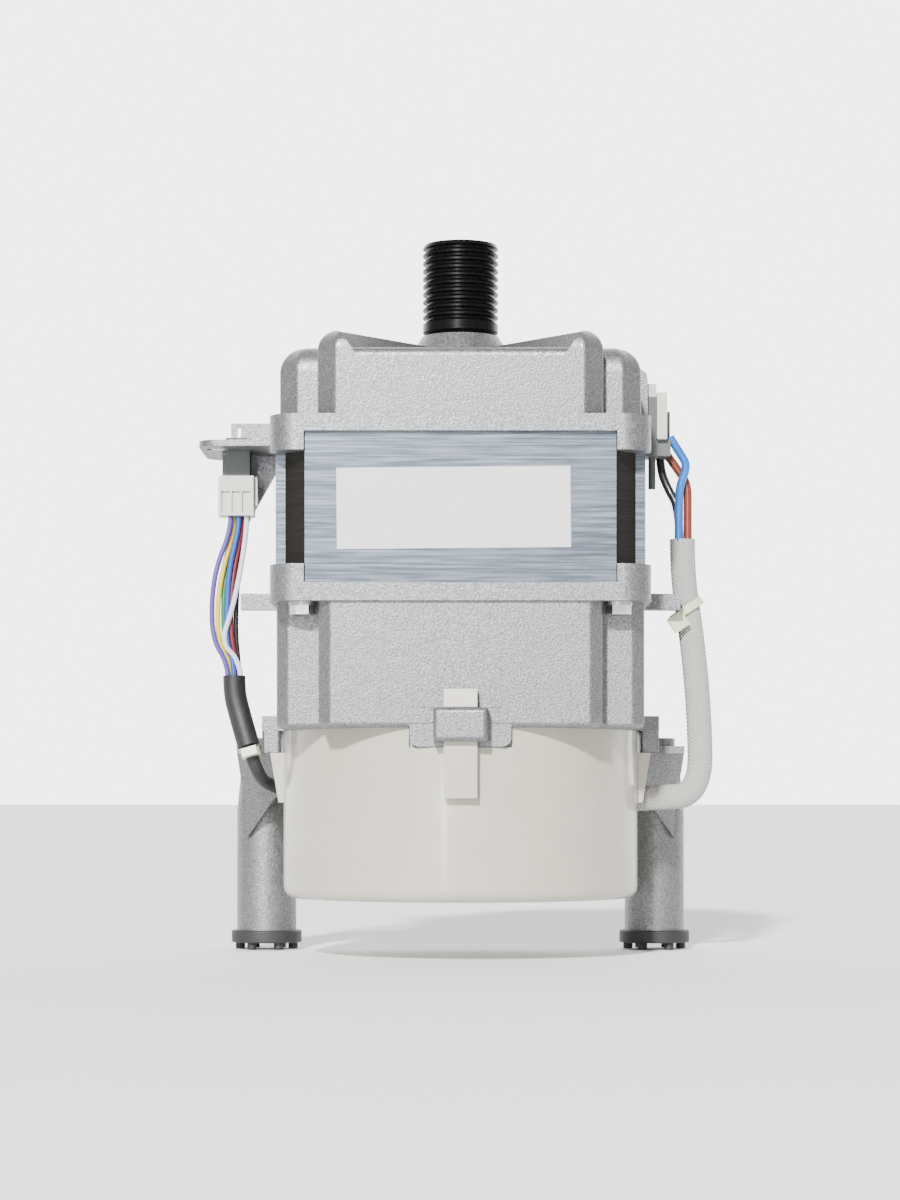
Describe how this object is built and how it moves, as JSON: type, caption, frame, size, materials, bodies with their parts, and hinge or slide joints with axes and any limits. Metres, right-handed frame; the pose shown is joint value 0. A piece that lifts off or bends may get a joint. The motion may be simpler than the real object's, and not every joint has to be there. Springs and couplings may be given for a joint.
{
  "type": "washing machine motor",
  "caption": "Brushless belt-drive motor with a ribbed pulley, cast end brackets, laminated stator, two rubber-bushed legs, an end cap and its sensor and phase leads.",
  "frame": {"origin": "midway between the two mounting bolts, on the plane where their steel sleeves end", "axes": "+Z along the shaft towards the pulley, +X towards the phase connector, -Y from the mounting bolts towards the shaft"},
  "size_m": [0.1546, 0.1153, 0.2148],
  "materials": {
    "cast_aluminium": "sand-cast, slightly sparkling",
    "core_steel": "stacked laminations",
    "rotor_steel": "stacked laminations",
    "bolt_steel": "zinc plated",
    "screw_steel": "dark",
    "sleeve_steel": "plain",
    "bearing_steel": "ground",
    "shaft_steel": "ground",
    "pulley_black": "glossy",
    "end_plate_aluminium": "plain",
    "magnet": "dark sintered",
    "winding": "enamelled copper",
    "insulator_plastic": "moulded",
    "cap_plastic": "moulded cream",
    "board": "circuit board",
    "foot_rubber": "moulded",
    "header_plastic": "moulded grey",
    "white_plastic": "moulded white",
    "purple_lead": "insulated lead",
    "yellow_lead": "insulated lead",
    "green_lead": "insulated lead",
    "blue_lead": "insulated lead",
    "red_lead": "insulated lead",
    "black_lead": "insulated lead",
    "white_lead": "insulated lead",
    "brown_lead": "insulated lead",
    "black_sleeve": "flexible sleeve",
    "braid": "braided",
    "tie_plastic": "nylon"
  },
  "bodies": {
    "motor_housing": {"upper_bracket": "cast_aluminium", "lower_bracket": "cast_aluminium", "stator_core": "core_steel", "through_bolts": "bolt_steel", "board_screws": "bolt_steel", "header_screw": "screw_steel", "left_leg_sleeve": "sleeve_steel", "right_leg_sleeve": "sleeve_steel", "upper_bearing_outer_race": "bearing_steel", "lower_bearing_outer_race": "bearing_steel", "preload_washer": "bearing_steel", "stator_coils": "winding", "upper_slot_insulator": "insulator_plastic", "lower_slot_insulator": "insulator_plastic", "end_cap": "cap_plastic", "sensor_board": "board", "left_leg_bush": "foot_rubber", "right_leg_bush": "foot_rubber", "sensor_header": "header_plastic", "phase_carrier": "header_plastic", "phase_plug": "header_plastic", "sensor_plug": "white_plastic", "phase_connector": "white_plastic", "sensor_lead_purple": "purple_lead", "sensor_lead_yellow": "yellow_lead", "sensor_lead_green": "green_lead", "sensor_lead_blue": "blue_lead", "blue_phase_lead": "blue_lead", "sensor_lead_red": "red_lead", "sensor_lead_black": "black_lead", "black_phase_lead": "black_lead", "sensor_lead_white": "white_lead", "brown_phase_lead": "brown_lead", "sensor_sleeve": "black_sleeve", "sensor_cable": "black_sleeve", "braided_sleeve": "braid", "sensor_cable_tie": "tie_plastic", "phase_cable_tie": "tie_plastic"},
    "rotor": {"shaft": "shaft_steel", "drive_pulley": "pulley_black", "rotor_core": "rotor_steel", "rotor_magnets": "magnet", "rotor_end_plates": "end_plate_aluminium", "sensor_magnet": "magnet", "upper_bearing_inner_race": "bearing_steel", "lower_bearing_inner_race": "bearing_steel"},
    "upper_ball_cage": {"upper_bearing_balls": "bearing_steel"},
    "lower_ball_cage": {"lower_bearing_balls": "bearing_steel"}
  },
  "joints": [
    {"name": "rotor_spin", "type": "hinge", "parent": "motor_housing", "child": "rotor", "pos_m": [0, -0.042, 0.1285], "axis": [0, 0, 1], "continuous": true},
    {"name": "upper_cage_spin", "type": "hinge", "parent": "motor_housing", "child": "upper_ball_cage", "pos_m": [0, -0.042, 0.1711], "axis": [0, 0, 1], "continuous": true},
    {"name": "lower_cage_spin", "type": "hinge", "parent": "motor_housing", "child": "lower_ball_cage", "pos_m": [0, -0.042, 0.0773], "axis": [0, 0, 1], "continuous": true}
  ],
  "couplings": [
    {"joint": "upper_cage_spin", "follows": "rotor_spin", "ratio": 0.38},
    {"joint": "lower_cage_spin", "follows": "rotor_spin", "ratio": 0.3636}
  ]
}
